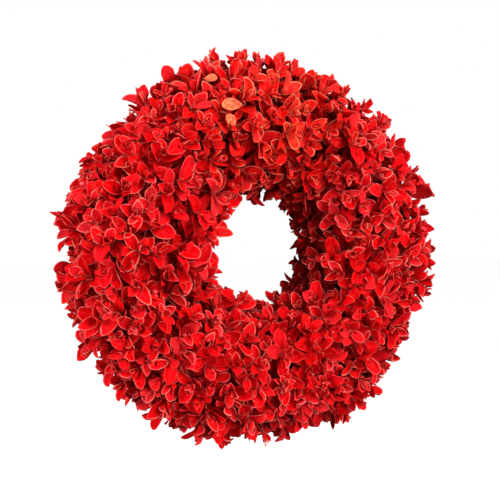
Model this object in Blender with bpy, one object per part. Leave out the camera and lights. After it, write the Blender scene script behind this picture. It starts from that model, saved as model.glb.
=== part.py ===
"""Harvest door wreath: a plump ring of dyed-red preserved foliage on a straw core.

Frame: metres, +Z up, the wreath upright as it hangs. The ring's axis is Y, the front faces -Y and
the flat back, which lies against the door, faces +Y. The origin is in the middle of the ring.

How it is built: a steel core ring holds six straw bundles end to end. Binding wire cinches the
straw at every waist. A strap wire round the top waist ends in an eye, and the hanger loop swings
in that eye. Thirty-six bunches of foliage cover the front and both sides of the straw in three
rows of twelve.
"""

import math

import bmesh
import bpy
from mathutils import Vector

MM = 0.001

# Ring
RING_R = 118.0 * MM  # radius of the core's centre line
CENTRE_Y = 24.0 * MM  # the core's centre line lies behind the middle of the depth
STATIONS = 12  # waists round the ring, one every 30 degrees

# Steel core ring
CORE_WIRE_R = 1.7 * MM
CORE_SEGMENTS = 64

# Straw bundles, as a section across the ring: (outwards from the centre line, towards the back)
BUNDLES = 6
STRAW_SECTION = [
    (-20, 32), (-27, 24), (-31, 8), (-30, -8), (-23, -21), (-11, -29),
    (11, -29), (23, -21), (30, -8), (31, 8), (27, 24), (20, 32),
]
WAIST_DEPTH = 3.2 * MM  # how far the binding wire pulls the straw in
WAIST_HALF_DEG, WAIST_END_DEG = 2.6, 4.6
BUNDLE_GAP_DEG = 0.15
BORE_R = 3.0 * MM

# Binding wire
BIND_R = 0.6 * MM
BIND_OFF = 1.1 * MM  # from the straw to the wire's centre
BIND_PITCH_DEG = 1.17

# Hanger
STRAP_R = 0.8 * MM
STRAP_OFF = 1.3 * MM
EYE_OUT, EYE_BACK, EYE_R = 34.0 * MM, 27.2 * MM, 3.4 * MM
EYE_SHIFT = 1.2 * MM  # the eye's coil runs this far to each side
LOOP_R = 1.0 * MM
LOOP_CORNER_X, LOOP_CORNER_R = 11.0 * MM, 4.0 * MM
LOOP_TOP_H, LOOP_TOP_R = 22.0 * MM, 11.0 * MM

# Foliage envelope: an oval across the ring, shallower behind the centre line
LEAF_OUTER = 75.0 * MM
LEAF_INNER = 71.5 * MM
LEAF_FRONT = 80.0 * MM
LEAF_BACK = 30.0 * MM
LEAF_CLEAR = 2.2 * MM  # from the straw to the underside of the foliage
LEAF_EDGE_DROP = 0.11  # a bunch is lower at its edges than at its crown
BUNCH_GAP_DEG = 2.6
ROWS = {  # name: (from, to) in degrees round the section from the front, and the row's turn round the ring
    "outer": (33.5, 118.0, 15.0),
    "front": (-32.5, 32.5, 0.0),
    "inner": (-118.0, -33.5, 15.0),
}

COLOURS = {
    "foliage": ((0.62, 0.012, 0.016), 0.75, 0.0),
    "straw": ((0.55, 0.40, 0.18), 0.85, 0.0),
    "steel": ((0.42, 0.41, 0.39), 0.35, 1.0),
    "green_wire": ((0.05, 0.13, 0.06), 0.5, 0.6),
}


def clear_scene():
    for obj in list(bpy.data.objects):
        bpy.data.objects.remove(obj, do_unlink=True)


def material(name):
    found = bpy.data.materials.get(name)
    if found:
        return found
    colour, rough, metal = COLOURS[name]
    made = bpy.data.materials.new(name)
    made.use_nodes = True
    shader = made.node_tree.nodes["Principled BSDF"]
    shader.inputs["Base Color"].default_value = (*colour, 1.0)
    shader.inputs["Roughness"].default_value = rough
    shader.inputs["Metallic"].default_value = metal
    made.diffuse_color = (*colour, 1.0)
    return made


def place(out, back, degrees):
    """A point of the section at an angle round the ring, 0 at +X and 90 at the top."""
    a = math.radians(degrees)
    r = RING_R + out
    return Vector((r * math.cos(a), CENTRE_Y + back, r * math.sin(a)))


def add_mesh(name, points, faces, kind, smooth=True):
    mesh = bpy.data.meshes.new(name)
    bm = bmesh.new()
    verts = [bm.verts.new(p) for p in points]
    for f in faces:
        bm.faces.new([verts[i] for i in f])
    bmesh.ops.recalc_face_normals(bm, faces=bm.faces)
    bm.to_mesh(mesh)
    bm.free()
    obj = bpy.data.objects.new(name, mesh)
    bpy.context.collection.objects.link(obj)
    mesh.materials.append(material(kind))
    if smooth:
        mesh.shade_smooth()
        mesh.set_sharp_from_angle(angle=math.radians(35))
    return obj


def wire(name, points, radius, kind, closed, resolution=2):
    """A round wire through these points."""
    curve = bpy.data.curves.new(name, "CURVE")
    curve.dimensions = "3D"
    spline = curve.splines.new("POLY")
    spline.points.add(len(points) - 1)
    for point, p in zip(spline.points, points):
        point.co = (*p, 1.0)
    spline.use_cyclic_u = closed
    curve.bevel_depth = radius
    curve.bevel_resolution = resolution
    curve.use_fill_caps = not closed
    curve.materials.append(material(kind))
    obj = bpy.data.objects.new(name, curve)
    bpy.context.collection.objects.link(obj)
    return obj


def waist(section, depth):
    """The section drawn in towards its middle by that depth."""
    out = []
    for a, b in section:
        shrink = 1 - depth / math.hypot(a, b)
        out.append((a * shrink, b * shrink))
    return out


def offset(section, by):
    """A convex section's outline moved outwards, with its corners kept."""
    n = len(section)
    out = []
    for i in range(n):
        p0, p1, p2 = (Vector(section[(i + k) % n]) for k in (-1, 0, 1))
        d1, d2 = (p1 - p0).normalized(), (p2 - p1).normalized()
        n1, n2 = Vector((d1.y, -d1.x)), Vector((d2.y, -d2.x))
        if n1.dot(p1) < 0:
            n1, n2 = -n1, -n2
        m = (n1 + n2).normalized()
        q = p1 + m * (by / max(m.dot(n1), 0.5))
        out.append((q.x, q.y))
    return out


def section_mm(section):
    return [(a * MM, b * MM) for a, b in section]


FULL = section_mm(STRAW_SECTION)
WAIST = waist(FULL, WAIST_DEPTH)


def straw_radius(phi):
    """How far the straw's full outline is from the centre line, at an angle from the front."""
    d = Vector((math.sin(phi), -math.cos(phi)))
    best = 0.0
    n = len(FULL)
    for i in range(n):
        p, q = Vector(FULL[i]), Vector(FULL[(i + 1) % n])
        e = q - p
        den = d.x * e.y - d.y * e.x
        if abs(den) < 1e-12:
            continue
        t = (p.x * e.y - p.y * e.x) / den
        s = (p.x * d.y - p.y * d.x) / den
        if t > 0 and -1e-6 <= s <= 1 + 1e-6:
            best = max(best, t)
    return best


def leaf_radius(phi):
    """How far the foliage reaches from the centre line, at an angle from the front."""
    depth = LEAF_FRONT if math.cos(phi) > 0 else LEAF_BACK
    side = LEAF_OUTER if math.sin(phi) > 0 else LEAF_INNER
    return 1 / math.hypot(math.sin(phi) / side, math.cos(phi) / depth)


def core_ring():
    points = [place(0, 0, 360 * i / CORE_SEGMENTS) for i in range(CORE_SEGMENTS)]
    return wire("core_ring", points, CORE_WIRE_R, "steel", closed=True)


def straw_bundle(name, middle):
    """One bundle: waisted in its middle and at both ends, with a channel for the core ring."""
    half = 360 / BUNDLES / 2
    e, w = WAIST_END_DEG, WAIST_HALF_DEG
    stops = [(-half + BUNDLE_GAP_DEG, WAIST), (-half + w, WAIST), (-half + e, FULL)]
    inner = half - 2 * e
    stops += [(-half + e + inner * k / 4, FULL) for k in (1, 2, 3)]
    stops += [(-e, FULL), (-w, WAIST)]
    stops += [(-d, s) for d, s in reversed(stops)]
    points, faces = [], []
    n = len(FULL)
    for d, section in stops:
        points += [place(a, b, middle + d) for a, b in section]
    for i in range(len(stops) - 1):
        for j in range(n):
            k = (j + 1) % n
            faces.append((i * n + j, i * n + k, (i + 1) * n + k, (i + 1) * n + j))
    # The channel has one side for each side of the outline, so that plain quads close the ends.
    base, cuts = len(points), 9
    for i in range(cuts):
        d = stops[0][0] + (stops[-1][0] - stops[0][0]) * i / (cuts - 1)
        for a, b in FULL:
            r = BORE_R / math.hypot(a, b)
            points.append(place(a * r, b * r, middle + d))
    for i in range(cuts - 1):
        for j in range(n):
            k = (j + 1) % n
            p = base + i * n
            faces.append((p + j, p + n + j, p + n + k, p + k))
    for outline, channel in ((0, base), ((len(stops) - 1) * n, base + (cuts - 1) * n)):
        for j in range(n):
            k = (j + 1) % n
            faces.append((outline + j, outline + k, channel + k, channel + j))
    return add_mesh(name, points, faces, "straw")


def binding_wire():
    """One length of wire: a turn round each waist, then along the inner back corner to the next. It stops short of the strap at the top."""
    tight, loose = offset(WAIST, BIND_OFF), offset(FULL, BIND_OFF)

    def corner(section):
        p, q = Vector(section[0]), Vector(section[1])
        m = (p + q) / 2
        return m.x, m.y

    low, high = corner(tight), corner(loose)
    points = [place(*high, 90 + 7.0)]
    n = len(tight)
    for k in range(1, STATIONS):
        at = 90 + 360 / STATIONS * k
        if k > 1:
            points += [place(*high, at - s) for s in (20.0, 12.5)]
        else:
            points += [place(*high, at - s) for s in (15.0,)]
        points += [place(*high, at - WAIST_END_DEG + 0.4), place(*low, at - WAIST_HALF_DEG + 0.9)]
        turn = [low] + [tight[(1 + j) % n] for j in range(n)] + [low]
        for j, (a, b) in enumerate(turn):
            shift = (j / (len(turn) - 1) - 0.5) * BIND_PITCH_DEG
            points.append(place(a, b, at + shift))
        points += [place(*low, at + WAIST_HALF_DEG - 0.9), place(*high, at + WAIST_END_DEG - 0.4)]
    points += [place(*high, 450 - s) for s in (15.0, 7.0)]
    return wire("binding_wire", points, BIND_R, "green_wire", closed=False, resolution=1)


def hanger_strap():
    """Wire round the top waist, with one turn of it as the eye at the upper back."""
    path = offset(WAIST, STRAP_OFF)
    n = len(path)
    # From the back's outer corner, over the back, inner side, front and outer side.
    order = [path[(11 + 1 + j) % n] for j in range(n - 2)]
    points = []
    start = math.pi * 0.5
    # The wire leaves the eye at its rearmost point, heading inwards along the back.
    lead = [path[11]] + order
    for j, (a, b) in enumerate(lead):
        x = EYE_SHIFT * (1 - 2 * j / (len(lead) - 1))
        points.append(Vector((x, CENTRE_Y + b, RING_R + a)))
    steps = 20
    sweep = 2.5 * math.pi
    for i in range(steps + 1):
        t = start - sweep + sweep * i / steps
        x = -EYE_SHIFT + 2 * EYE_SHIFT * i / steps
        points.append(
            Vector((x, CENTRE_Y + EYE_BACK + EYE_R * math.sin(t), RING_R + EYE_OUT + EYE_R * math.cos(t)))
        )
    return wire("hanger_strap", points, STRAP_R, "steel", closed=True)


def hanger_loop():
    """A closed wire loop, round at the top, whose straight bar turns in the eye. Its origin is on the bar."""
    discs = [
        (-LOOP_CORNER_X, LOOP_CORNER_R, LOOP_CORNER_R),
        (LOOP_CORNER_X, LOOP_CORNER_R, LOOP_CORNER_R),
        (0.0, LOOP_TOP_H, LOOP_TOP_R),
    ]
    points = []
    steps = 44
    for i in range(steps):
        t = 2 * math.pi * (i + 0.5) / steps
        n = (math.cos(t), math.sin(t))
        x, h, r = max(discs, key=lambda d: d[0] * n[0] + d[1] * n[1] + d[2])
        points.append(Vector((x + r * n[0], 0.0, h + r * n[1])))
    obj = wire("hanger_loop", points, LOOP_R, "steel", closed=True)
    obj.location = (0.0, CENTRE_Y + EYE_BACK, RING_R + EYE_OUT)
    return obj


def bunch(name, row, middle):
    """A pillow of foliage: its underside follows the straw, its crown the foliage envelope."""
    lo, hi, _ = ROWS[row]
    half = 360 / STATIONS / 2 - BUNCH_GAP_DEG / 2
    nu, nv = 4, 4
    points, faces = [], []

    def grid(top):
        first = len(points)
        for i in range(nu + 1):
            u = -1 + 2 * i / nu
            for j in range(nv + 1):
                v = -1 + 2 * j / nv
                phi = math.radians(lo + (hi - lo) * (v + 1) / 2)
                if top:
                    drop = LEAF_EDGE_DROP * (1 - (1 - u * u) * (1 - v * v))
                    r = leaf_radius(phi) * (1 - drop)
                else:
                    r = straw_radius(phi) + LEAF_CLEAR
                points.append(place(r * math.sin(phi), -r * math.cos(phi), middle + half * u))
        return first

    def at(first, i, j):
        return first + i * (nv + 1) + j

    under, crown = grid(False), grid(True)
    for i in range(nu):
        for j in range(nv):
            faces.append([at(crown, i, j), at(crown, i + 1, j), at(crown, i + 1, j + 1), at(crown, i, j + 1)])
            faces.append([at(under, i, j), at(under, i, j + 1), at(under, i + 1, j + 1), at(under, i + 1, j)])
    rim = [(i, 0) for i in range(nu)] + [(nu, j) for j in range(nv)]
    rim += [(i, nv) for i in range(nu, 0, -1)] + [(0, j) for j in range(nv, 0, -1)]
    for k, (i, j) in enumerate(rim):
        p, q = rim[(k + 1) % len(rim)]
        faces.append([at(crown, i, j), at(under, i, j), at(under, p, q), at(crown, p, q)])
    return add_mesh(name, points, faces, "foliage")


def main():
    clear_scene()
    core_ring()
    for k in range(BUNDLES):
        straw_bundle(f"straw_bundle_{k + 1}", 120.0 - 60.0 * k)
    binding_wire()
    hanger_strap()
    hanger_loop()
    for row, (_, _, turn) in ROWS.items():
        for k in range(STATIONS):
            bunch(f"{row}_bunch_{k + 1:02d}", row, 90.0 - turn - 30.0 * k)


main()
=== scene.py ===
"""The looks of the harvest door wreath: every sprig, leaf, bud and straw stalk as its own closed shape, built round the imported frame."""

import math

import bpy
import numpy as np
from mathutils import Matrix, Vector


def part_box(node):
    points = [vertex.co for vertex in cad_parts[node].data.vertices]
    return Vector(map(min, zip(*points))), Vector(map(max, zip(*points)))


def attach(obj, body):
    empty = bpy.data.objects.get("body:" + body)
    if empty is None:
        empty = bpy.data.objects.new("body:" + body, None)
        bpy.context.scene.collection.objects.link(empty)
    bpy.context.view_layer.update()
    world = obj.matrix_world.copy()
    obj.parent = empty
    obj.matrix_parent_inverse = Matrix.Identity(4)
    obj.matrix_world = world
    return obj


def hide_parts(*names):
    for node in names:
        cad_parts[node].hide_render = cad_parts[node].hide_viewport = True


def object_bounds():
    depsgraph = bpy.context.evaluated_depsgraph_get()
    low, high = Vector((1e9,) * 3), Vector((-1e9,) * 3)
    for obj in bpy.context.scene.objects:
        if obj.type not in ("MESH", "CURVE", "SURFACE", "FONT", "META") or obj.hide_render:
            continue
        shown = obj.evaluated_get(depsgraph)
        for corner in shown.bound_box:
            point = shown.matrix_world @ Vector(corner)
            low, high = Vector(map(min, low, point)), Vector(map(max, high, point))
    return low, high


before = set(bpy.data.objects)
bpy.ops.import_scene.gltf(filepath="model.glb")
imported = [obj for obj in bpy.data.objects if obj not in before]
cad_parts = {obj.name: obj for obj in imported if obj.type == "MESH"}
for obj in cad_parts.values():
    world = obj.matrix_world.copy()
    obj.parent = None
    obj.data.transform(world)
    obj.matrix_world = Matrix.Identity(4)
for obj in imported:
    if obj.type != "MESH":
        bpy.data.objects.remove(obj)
CAD_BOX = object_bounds()

MM = 0.001
rng = np.random.default_rng(41)


# ---------------------------------------------------------------- the frame's own measures, in millimetres
def box_mm(node):
    lo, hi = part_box(node)
    return np.array(lo) / MM, np.array(hi) / MM


core_lo, core_hi = box_mm("core_ring")
CORE_WIRE = (core_hi[1] - core_lo[1]) / 2
RING_R = (core_hi[0] - core_lo[0]) / 2 - CORE_WIRE  # radius of the core's centre line
CENTRE_Y = (core_hi[1] + core_lo[1]) / 2
BACK_Y = CAD_BOX[1].y / MM  # the plane of the door
loop_lo, loop_hi = box_mm("hanger_loop")
strap_lo, strap_hi = box_mm("hanger_strap")
ROWS = {"outer": (33.0, 122.0, 15.0), "front": (-33.0, 33.0, 0.0), "inner": (-122.0, -33.0, 15.0)}
STRAW_SECTION = np.array(
    [(-20, 32), (-27, 24), (-31, 8), (-30, -8), (-23, -21), (-11, -29),
     (11, -29), (23, -21), (30, -8), (31, 8), (27, 24), (20, 32)], float
)
WAIST_DEPTH = 3.2


def place(out, back, theta):
    """Points of the section (outwards, towards the back) at an angle round the ring in radians."""
    r = RING_R + out
    return np.stack([r * np.cos(theta), CENTRE_Y + back, r * np.sin(theta)], -1)


def section_axes(phi, theta):
    """At an angle phi from the front of the section: the direction away from the centre line, the one along growing phi, and the one round the ring."""
    away_out, away_back = np.sin(phi), -np.cos(phi)
    radial = np.stack([np.cos(theta), np.zeros_like(theta), np.sin(theta)], -1)
    back = np.zeros_like(radial)
    back[..., 1] = 1.0
    away = away_out[..., None] * radial + away_back[..., None] * back
    turn = np.cos(phi)[..., None] * radial + np.sin(phi)[..., None] * back
    along = np.stack([-np.sin(theta), np.zeros_like(theta), np.cos(theta)], -1)
    return away, turn, along


def unit(v):
    return v / np.maximum(np.linalg.norm(v, axis=-1, keepdims=True), 1e-9)


def smooth(x, a, b):
    t = np.clip((x - a) / (b - a), 0, 1)
    return t * t * (3 - 2 * t)


# ---------------------------------------------------------------- mesh making
class Template:
    """The faces of one repeated shape: corner lists, and each corner's place in its cell of the bake map."""

    def __init__(self, faces, uvs, count):
        self.sizes = np.array([len(f) for f in faces], np.int32)
        self.corners = np.array([i for f in faces for i in f], np.int64)
        self.uvs = np.array([uv for f in uvs for uv in f], np.float32)
        self.count = count


def leaf_template(us, ts):
    """A closed blade: an upper grid, and an under grid that shares its border."""
    nu, nt = len(us), len(ts)
    under = {}
    n = nu * nt
    for j in range(nt):
        for i in range(nu):
            if 0 < i < nu - 1 and 0 < j < nt - 1:
                under[(i, j)] = n
                n += 1
            else:
                under[(i, j)] = j * nu + i
    faces, uvs = [], []

    def uv(i, j):
        return (0.04 + 0.92 * ts[j], 0.04 + 0.92 * (us[i] + 1) / 2)

    for j in range(nt - 1):
        for i in range(nu - 1):
            ring = [(i, j), (i, j + 1), (i + 1, j + 1), (i + 1, j)]
            faces.append([b * nu + a for a, b in reversed(ring)])
            uvs.append([uv(a, b) for a, b in reversed(ring)])
            faces.append([under[c] for c in ring])
            uvs.append([uv(a, b) for a, b in ring])
    return Template(faces, uvs, n)


def tube_template(sides, rings):
    """A closed tube with flat ends."""
    faces, uvs = [], []
    for j in range(rings - 1):
        for i in range(sides):
            k = (i + 1) % sides
            faces.append([j * sides + i, j * sides + k, (j + 1) * sides + k, (j + 1) * sides + i])
            u0, u1 = 0.05 + 0.9 * j / (rings - 1), 0.05 + 0.9 * (j + 1) / (rings - 1)
            v0, v1 = 0.05 + 0.9 * i / sides, 0.05 + 0.9 * (i + 1) / sides
            uvs.append([(u0, v0), (u0, v1), (u1, v1), (u1, v0)])
    for ring, first in ((0, True), (rings - 1, False)):
        f = [ring * sides + i for i in range(sides)]
        if first:
            f = f[::-1]
        faces.append(f)
        c = 0.03 if first else 0.97
        uvs.append([(c + 0.015 * math.cos(2 * math.pi * i / sides), 0.5 + 0.015 * math.sin(2 * math.pi * i / sides)) for i in range(sides)])
    return Template(faces, uvs, sides * rings)


def ball_template(sides, rings):
    """A closed ball of rings between two end points."""
    faces, uvs = [], []
    n = sides * rings
    for i in range(sides):
        k = (i + 1) % sides
        v0, v1 = 0.05 + 0.9 * i / sides, 0.05 + 0.9 * (i + 1) / sides
        faces.append([n, k, i])
        uvs.append([(0.05, (v0 + v1) / 2), (0.15, v1), (0.15, v0)])
        for j in range(rings - 1):
            faces.append([j * sides + i, j * sides + k, (j + 1) * sides + k, (j + 1) * sides + i])
            u0, u1 = 0.15 + 0.7 * j / (rings - 1), 0.15 + 0.7 * (j + 1) / (rings - 1)
            uvs.append([(u0, v0), (u0, v1), (u1, v1), (u1, v0)])
        j = rings - 1
        faces.append([n + 1, j * sides + i, j * sides + k])
        uvs.append([(0.95, (v0 + v1) / 2), (0.85, v0), (0.85, v1)])
    return Template(faces, uvs, n + 2)


class Piece:
    """Gathers copies of the templates and turns them into one mesh."""

    def __init__(self, name):
        self.name = name
        self.parts = []

    def add(self, template, points, spot, tint, slot):
        """points and spot are (N, V, 3); tint is (N, 3)."""
        if len(points):
            self.parts.append((template, points, spot, tint, slot))

    def mesh(self, materials, flat=False):
        cells = sum(len(p[1]) for p in self.parts)
        grid = max(1, math.ceil(math.sqrt(cells)))
        verts, corners, sizes, uvs, spots, tints, slots = [], [], [], [], [], [], []
        base, cell = 0, 0
        for template, points, spot, tint, slot in self.parts:
            n = len(points)
            first = base + np.arange(n) * template.count
            verts.append(points.reshape(-1, 3))
            corners.append((template.corners[None, :] + first[:, None]).ravel())
            sizes.append(np.tile(template.sizes, n))
            c = cell + np.arange(n)
            corner = np.stack([c % grid, c // grid], -1) / grid
            uvs.append((template.uvs[None] / grid + corner[:, None, :]).reshape(-1, 2))
            spots.append(spot.reshape(-1, 3))
            tints.append(np.repeat(tint[:, None, :], template.count, 1).reshape(-1, 3))
            slots.append(np.full(n * len(template.sizes), slot, np.int32))
            base += n * template.count
            cell += n
        verts, corners, sizes = np.concatenate(verts) * MM, np.concatenate(corners), np.concatenate(sizes)
        mesh = bpy.data.meshes.new(self.name)
        mesh.vertices.add(len(verts))
        mesh.vertices.foreach_set("co", verts.astype(np.float32).ravel())
        mesh.loops.add(len(corners))
        mesh.loops.foreach_set("vertex_index", corners.astype(np.int32))
        mesh.polygons.add(len(sizes))
        mesh.polygons.foreach_set("loop_start", (np.cumsum(sizes) - sizes).astype(np.int32))
        mesh.polygons.foreach_set("material_index", np.concatenate(slots))
        uv = mesh.uv_layers.new(name="OFBake")
        uv.uv.foreach_set("vector", np.concatenate(uvs).astype(np.float32).ravel())
        for name, values in (("spot", spots), ("tint", tints)):
            layer = mesh.attributes.new(name, "FLOAT_VECTOR", "POINT")
            layer.data.foreach_set("vector", np.concatenate(values).astype(np.float32).ravel())
        for m in materials:
            mesh.materials.append(m)
        mesh.update(calc_edges=True)
        mesh.validate()
        if not flat:
            mesh.shade_smooth()
        obj = bpy.data.objects.new(self.name, mesh)
        bpy.context.scene.collection.objects.link(obj)
        return obj


US_HI = np.array([-1, -0.82, -0.42, 0, 0.42, 0.82, 1.0])
TS_HI = np.array([0, 0.06, 0.16, 0.30, 0.46, 0.62, 0.77, 0.89, 0.96, 1.0])
US_LO = np.array([-1, -0.6, 0, 0.6, 1.0])
TS_LO = np.array([0, 0.12, 0.3, 0.5, 0.7, 0.88, 1.0])
LEAF_HI, LEAF_LO = leaf_template(US_HI, TS_HI), leaf_template(US_LO, TS_LO)
STEM = tube_template(6, 9)
FILAMENT = tube_template(5, 7)
BUD = ball_template(8, 6)


def blades(us, ts, at, along, face, length, width, g):
    """Leaf blades. at, along and face are (N, 3): where the blade starts, which way it leaves, and which way its upper side faces.
    g holds each blade's own numbers. Returns the points and, for each, (across, along, distance from the margin) in millimetres."""
    n = len(at)
    T, U = ts[None, :], us[None, None, :]
    a, b = g["base"][:, None], g["tip"][:, None]
    peak = a / (a + b)
    shape = (T ** a) * ((1 - T) ** b) / ((peak ** a) * ((1 - peak) ** b))
    half = np.maximum(shape * width[:, None] / 2, np.where(T < 0.3, 0.42, 0.10))  # (N, T)
    psi = -(g["bend"][:, None] * T ** 1.2 + g["curl"][:, None] * smooth(T, 0.55, 1.0))
    step = np.diff(ts)[None, :]
    cx, cz = np.cos(psi), np.sin(psi)
    x = np.concatenate([np.zeros((n, 1)), np.cumsum((cx[:, 1:] + cx[:, :-1]) / 2 * step, 1)], 1) * length[:, None]
    z = np.concatenate([np.zeros((n, 1)), np.cumsum((cz[:, 1:] + cz[:, :-1]) / 2 * step, 1)], 1) * length[:, None]
    h3 = half[:, :, None]
    fold = g["fold"][:, None, None]
    rise = np.tan(fold) * (0.5 * (np.sqrt(U * U + 0.05) - math.sqrt(0.05)) + 0.5 * U * U) - g["hem"][:, None, None] * U ** 4
    lift = h3 * rise
    wave = g["wave"][:, None, None] * h3 * U * U * np.sin(
        2 * math.pi * g["waves"][:, None, None] * T[:, :, None] + g["phase"][:, None, None] + np.where(U > 0, 1.9, 0.0)
    )
    lift = lift + wave
    across = U * h3 * np.cos(fold * 0.8)
    tw = (g["twist"][:, None] * T)[:, :, None]
    yy = across * np.cos(tw) - lift * np.sin(tw)
    hh = across * np.sin(tw) + lift * np.cos(tw)
    yy = yy + (g["side"][:, None] * T ** 2 * length[:, None])[:, :, None]

    def local(h):
        return np.stack([x[:, :, None] - np.sin(psi)[:, :, None] * h, yy, z[:, :, None] + np.cos(psi)[:, :, None] * h], -1)

    nu, nt = len(us), len(ts)
    top = local(hh)
    keel = 0.22 * np.exp(-(U / 0.2) ** 2) * (1 - 0.8 * T[:, :, None])
    thick = g["thick"][:, None, None] * np.sqrt(np.clip(1 - U * U, 0, 1)) + keel
    low = local(hh - thick)[:, 1:-1, 1:-1]
    points = np.concatenate([top.reshape(n, -1, 3), low.reshape(n, -1, 3)], 1)
    margin = np.minimum((1 - np.abs(U)) * h3, ((1 - T) * length[:, None])[:, :, None] * 0.9)
    spot = np.stack([U * h3 + 0 * margin, (T * length[:, None])[:, :, None] + 0 * margin, margin], -1)
    spots = np.concatenate([spot.reshape(n, -1, 3), spot[:, 1:-1, 1:-1].reshape(n, -1, 3)], 1)
    side = unit(np.cross(face, along))
    world = points[..., 0:1] * along[:, None] + points[..., 1:2] * side[:, None] + points[..., 2:3] * face[:, None] + at[:, None]
    return world, spots


def tubes(path, radius, sides, flat=None):
    """Closed tubes along (N, K, 3) paths. radius is (N, K); flat is the tube's height over its width."""
    n, k, _ = path.shape
    tangent = unit(np.gradient(path, axis=1))
    seed = np.zeros_like(tangent)
    seed[..., 1] = 1.0
    steep = np.abs(tangent[..., 1:2]) > 0.93
    seed = np.where(steep, np.array([1.0, 0.0, 0.0]), seed)
    one = unit(np.cross(tangent, seed))
    two = np.cross(tangent, one)
    ang = 2 * math.pi * np.arange(sides) / sides
    w = np.ones((n, 1)) if flat is None else flat[:, None]
    ring = (
        np.cos(ang)[None, None, :, None] * one[:, :, None] * radius[:, :, None, None]
        + np.sin(ang)[None, None, :, None] * two[:, :, None] * (radius * w)[:, :, None, None]
    )
    return (path[:, :, None] + ring).reshape(n, -1, 3), ang


def tube_spots(path, radius, sides):
    n, k, _ = path.shape
    run = np.concatenate([np.zeros((n, 1)), np.cumsum(np.linalg.norm(np.diff(path, axis=1), axis=-1), 1)], 1)
    ang = 2 * math.pi * np.arange(sides) / sides
    spot = np.stack(
        [
            np.sin(ang)[None, None, :] * radius[:, :, None],
            np.broadcast_to(run[:, :, None], (n, k, sides)),
            np.cos(ang)[None, None, :] * radius[:, :, None] + 3.0,
        ],
        -1,
    )
    return spot.reshape(n, -1, 3)


# ---------------------------------------------------------------- where the sprigs go
TIP_OUTER, TIP_INNER, TIP_FRONT, TIP_BACK = 65.0, 61.5, 69.0, 36.0
SPACING = 16.2


# The hand-bound outline isn't even: (angle round the ring, how far it stands out, half width of the swell), in degrees and mm
SWELLS = [(0, 3.0, 8), (16, -2.5, 8), (42, 3.5, 9), (62, -3.5, 12), (76, -4.0, 8), (122, -4.5, 8), (137, -12.5, 10), (152, -4.5, 8), (182, -2.5, 12), (240, -1.5, 9), (268, -4.5, 8), (284, -11.0, 7), (300, 9.5, 9), (333, -6.5, 9), (348, 3.0, 8)]
# and the same for the side of the hole
INNER_SWELLS = [(2, -10.0, 6), (25, -5.0, 6), (42, -7.0, 20), (66, -6.0, 8), (95, -1.0, 7), (113, -9.0, 8), (148, 10.0, 8), (170, -4.0, 7), (184, 5.0, 6), (197, -6.0, 7), (210, -8.0, 5), (219, -9.0, 8), (240, 11.0, 5), (266, 1.0, 8), (286, -6.0, 8), (303, -9.0, 6), (320, -3.0, 6), (338, -6.0, 6), (352, 5.0, 6)]


def tip_radius(phi, theta, swells=True):
    """How far the sprigs' tips are from the centre line."""
    inner, front = np.sin(phi) < 0, np.cos(phi) > 0
    side = np.where(inner, np.where(front, TIP_INNER, TIP_INNER + 4.0), TIP_OUTER)
    depth = np.where(front, TIP_FRONT, np.where(inner, TIP_BACK + 16.0, TIP_BACK))
    # the crown is fuller towards the hole, on the left more than on the right
    full = np.where(inner & front, 2.15 - 0.25 * np.cos(theta), 2.0)
    r = (np.abs(np.sin(phi) / side) ** full + np.abs(np.cos(phi) / depth) ** full) ** (-1 / full)
    deg = np.degrees(theta)
    for side, table in ((1, SWELLS), (-1, INNER_SWELLS)) if swells else ():
        for at, swell, half in table:
            off = (deg - at + 180) % 360 - 180
            r = r + swell * np.exp(-((off / half) ** 2)) * np.clip(side * np.sin(phi), 0, 1)
    return r


def scatter():
    """Tips spread evenly over the foliage's crown: random points that keep their distance."""
    rng = np.random.default_rng(41)
    tries = 26000
    phi = rng.uniform(-math.radians(121), math.radians(121), tries)
    theta = rng.uniform(0, 2 * math.pi, tries)
    r = tip_radius(phi, theta, False)
    keep = rng.random(tries) < (RING_R + r * np.sin(phi)) / (RING_R + TIP_OUTER)
    phi, theta, r = phi[keep], theta[keep], r[keep]
    pts = place(r * np.sin(phi), -r * np.cos(phi), theta)
    taken = np.zeros((0, 3))
    chosen = []
    for i in range(len(pts)):
        if len(taken) and np.min(np.sum((taken - pts[i]) ** 2, 1)) < SPACING ** 2:
            continue
        taken = np.vstack([taken, pts[i]])
        chosen.append(i)
    return phi[chosen], theta[chosen]


def straw_radius(phi):
    """The straw's outline as a distance from the centre line."""
    d = np.stack([np.sin(phi), -np.cos(phi)], -1)
    best = np.zeros(len(phi))
    n = len(STRAW_SECTION)
    for i in range(n):
        p, q = STRAW_SECTION[i], STRAW_SECTION[(i + 1) % n]
        e = q - p
        den = d[:, 0] * e[1] - d[:, 1] * e[0]
        den = np.where(np.abs(den) < 1e-9, 1e-9, den)
        t = (p[0] * e[1] - p[1] * e[0]) / den
        s = (p[0] * d[:, 1] - p[1] * d[:, 0]) / den
        best = np.where((t > 0) & (s >= -1e-6) & (s <= 1 + 1e-6), np.maximum(best, t), best)
    return best


def shy(points):
    """Leaves lie flat against the door, and stay in front of the hanger."""
    p = points
    y = p[..., 1]
    limit = np.full(y.shape, BACK_Y - 0.6)
    near = smooth(np.abs(p[..., 0]), loop_hi[0] + 12, loop_hi[0] + 3) * smooth(p[..., 2], strap_hi[2] - 30, strap_hi[2] - 20)
    limit = limit - near * (BACK_Y - 0.6 - (strap_hi[1] - 14.0))
    soft = 9.0
    over = y - (limit - soft)
    y2 = np.where(over > 0, limit - soft + soft * (1 - np.exp(-over / soft)), y)
    p[..., 1] = y2
    return p


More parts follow.
